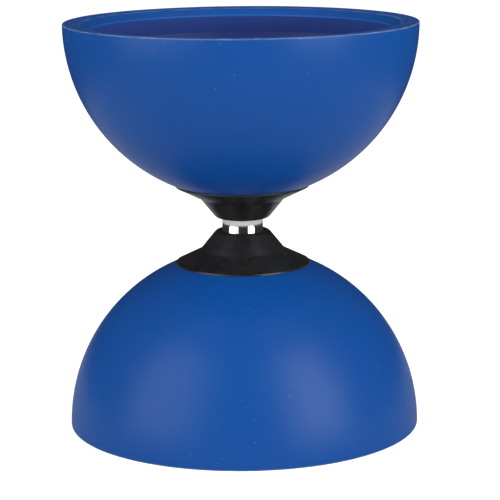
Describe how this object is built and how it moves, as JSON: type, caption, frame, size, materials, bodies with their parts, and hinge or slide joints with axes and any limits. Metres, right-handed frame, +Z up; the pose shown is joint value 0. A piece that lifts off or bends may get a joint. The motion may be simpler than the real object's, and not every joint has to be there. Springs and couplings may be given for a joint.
{
  "type": "diabolo yo-yo",
  "caption": "Diabolo spinning toy: bowl-shaped rubber cups back to back on black flared hubs, with a steel string ring that turns on ball bearings about a bolted axle",
  "frame": {"origin": "bottom centre, where the axle line meets the floor that the lower cup's rim stands on", "axes": "+Z up along the axle line, about which everything is turned; +X to the right and -Y to the front"},
  "size_m": [0.12, 0.12, 0.1384],
  "materials": {
    "cup_rubber": "satin blue moulded elastomer, roughness 0.42, dusty and scuffed at the rim",
    "hub_nylon": "black moulded plastic, fine sheen, roughness 0.38",
    "disc_nylon": "black moulded plastic, roughness 0.5",
    "insert_nylon": "pale translucent-looking locking ring, roughness 0.5",
    "ring_steel": "polished steel ring, roughness 0.12",
    "race_steel": "ground bearing steel",
    "ball_steel": "polished bearing steel",
    "shield_steel": "pressed steel",
    "cage_brass": "machined brass",
    "bush_steel": "turned steel",
    "spacer_steel": "turned steel",
    "washer_zinc": "zinc-plated steel",
    "nut_zinc": "zinc-plated steel",
    "stud_zinc": "zinc-plated steel"
  },
  "bodies": {
    "spinning_body": {"upper_cup": "cup_rubber", "upper_hub": "hub_nylon", "upper_hub_bush": "bush_steel", "upper_clamp_disc": "disc_nylon", "upper_load_washer": "washer_zinc", "upper_lock_nut": "nut_zinc", "upper_nut_insert": "insert_nylon", "upper_bearing_inner_race": "race_steel", "lower_cup": "cup_rubber", "lower_hub": "hub_nylon", "lower_hub_bush": "bush_steel", "lower_clamp_disc": "disc_nylon", "lower_load_washer": "washer_zinc", "lower_lock_nut": "nut_zinc", "lower_nut_insert": "insert_nylon", "lower_bearing_inner_race": "race_steel", "axle_stud": "stud_zinc", "race_spacer": "spacer_steel"},
    "string_ring": {"axle_roller": "ring_steel", "upper_bearing_outer_race": "race_steel", "upper_inner_shield": "shield_steel", "upper_outer_shield": "shield_steel", "lower_bearing_outer_race": "race_steel", "lower_inner_shield": "shield_steel", "lower_outer_shield": "shield_steel"},
    "upper_ball_set": {"upper_bearing_cage": "cage_brass", "upper_ball_1": "ball_steel", "upper_ball_2": "ball_steel", "upper_ball_3": "ball_steel", "upper_ball_4": "ball_steel", "upper_ball_5": "ball_steel", "upper_ball_6": "ball_steel", "upper_ball_7": "ball_steel", "upper_ball_8": "ball_steel"},
    "lower_ball_set": {"lower_bearing_cage": "cage_brass", "lower_ball_1": "ball_steel", "lower_ball_2": "ball_steel", "lower_ball_3": "ball_steel", "lower_ball_4": "ball_steel", "lower_ball_5": "ball_steel", "lower_ball_6": "ball_steel", "lower_ball_7": "ball_steel", "lower_ball_8": "ball_steel"}
  },
  "joints": [
    {"name": "roller_spin", "type": "hinge", "parent": "spinning_body", "child": "string_ring", "pos_m": [0, 0, 0.0692], "axis": [0, 0, 1], "continuous": true},
    {"name": "upper_balls_spin", "type": "hinge", "parent": "spinning_body", "child": "upper_ball_set", "pos_m": [0, 0, 0.0692], "axis": [0, 0, 1], "continuous": true},
    {"name": "lower_balls_spin", "type": "hinge", "parent": "spinning_body", "child": "lower_ball_set", "pos_m": [0, 0, 0.0692], "axis": [0, 0, 1], "continuous": true}
  ],
  "couplings": [
    {"joint": "upper_balls_spin", "follows": "roller_spin", "ratio": 0.58833},
    {"joint": "lower_balls_spin", "follows": "roller_spin", "ratio": 0.58833}
  ]
}
